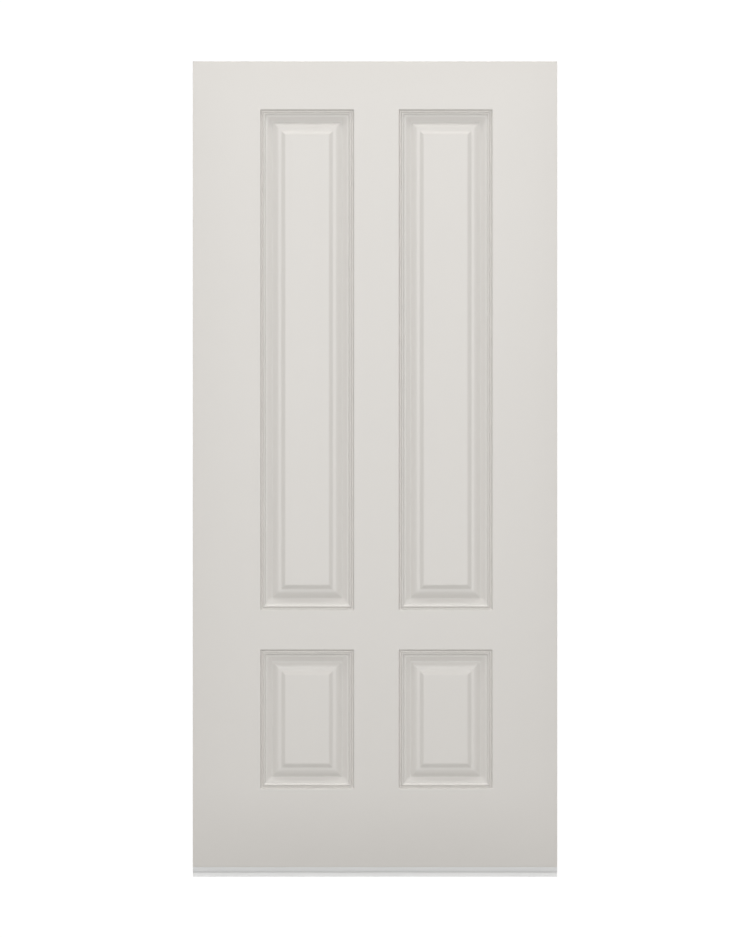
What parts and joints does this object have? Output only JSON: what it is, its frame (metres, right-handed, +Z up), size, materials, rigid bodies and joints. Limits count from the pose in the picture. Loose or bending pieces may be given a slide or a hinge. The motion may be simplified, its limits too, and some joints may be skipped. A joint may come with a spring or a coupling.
{
  "type": "panelled front door",
  "caption": "Insulated exterior door leaf with raised, moulded panels, tall above short, wood edges, hinge seats cut in one edge and a finned sweep along the bottom.",
  "frame": {"origin": "the middle of the leaf's footprint, on the lowest line of its sweep", "axes": "+X from the hinge edge to the lock edge, -Y out of the outside face, +Y out of the inside face, +Z up"},
  "size_m": [0.908, 0.0446, 2.031],
  "materials": {
    "skin": "satin, moulded smooth, pale warm grey",
    "laminated_wood": "sawn laminated veneer",
    "edge_wood": "planed bare pine",
    "rail": "wood-fibre composite, sawn",
    "foam": "rigid foam",
    "sweep_vinyl": "extruded vinyl, soft satin",
    "staple_wire": "galvanised wire"
  },
  "bodies": {
    "root": {"front_skin": "skin", "back_skin": "skin", "hinge_stile": "laminated_wood", "lock_stile": "laminated_wood", "hinge_edge_strip": "edge_wood", "lock_edge_strip": "edge_wood", "top_rail": "rail", "bottom_rail": "rail", "lock_block": "laminated_wood", "foam_core": "foam", "door_sweep": "sweep_vinyl", "sweep_staples": "staple_wire", "frame_staples": "staple_wire"}
  },
  "joints": []
}
